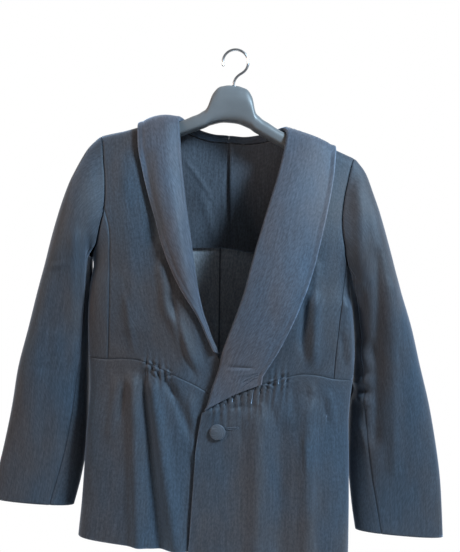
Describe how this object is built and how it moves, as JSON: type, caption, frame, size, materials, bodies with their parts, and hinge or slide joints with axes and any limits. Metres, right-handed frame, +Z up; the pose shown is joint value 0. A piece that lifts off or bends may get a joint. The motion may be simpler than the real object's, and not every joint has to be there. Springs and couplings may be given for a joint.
{
  "type": "tailored jacket on a coat hanger",
  "caption": "Waisted tailored jacket with a wide shawl collar, gathers at the waist seam and long sleeves, hanging on a broad coat hanger.",
  "frame": {"origin": "inside top of the hanger's hook, where it rests on a rail", "axes": "+Z up, -Y towards the viewer of the jacket's front, +X towards the wearer's left"},
  "size_m": [0.6762, 0.1294, 0.7566],
  "materials": {
    "jacket_cloth": "matt dark navy wool",
    "collar_cloth": "matt dark navy wool",
    "lining_cloth": "matt dark navy wool, wrong side",
    "button_cloth": "covered in the jacket's cloth",
    "hanger_plastic": "satin moulded grey",
    "hook_steel": "polished wire"
  },
  "bodies": {
    "root": {"back_bodice_left": "jacket_cloth", "back_bodice_right": "jacket_cloth", "back_lining": "lining_cloth", "back_skirt_left": "jacket_cloth", "back_skirt_right": "jacket_cloth", "button": "button_cloth", "collar_left": "collar_cloth", "collar_right": "collar_cloth", "front_bodice_left": "jacket_cloth", "front_bodice_right": "jacket_cloth", "front_skirt_left": "jacket_cloth", "front_skirt_right": "jacket_cloth", "hanger_body": "hanger_plastic", "hanger_hook": "hook_steel", "side_bodice_left": "jacket_cloth", "side_bodice_right": "jacket_cloth", "sleeve_under_left": "jacket_cloth", "sleeve_under_right": "jacket_cloth", "sleeve_upper_left": "jacket_cloth", "sleeve_upper_right": "jacket_cloth"}
  },
  "joints": []
}
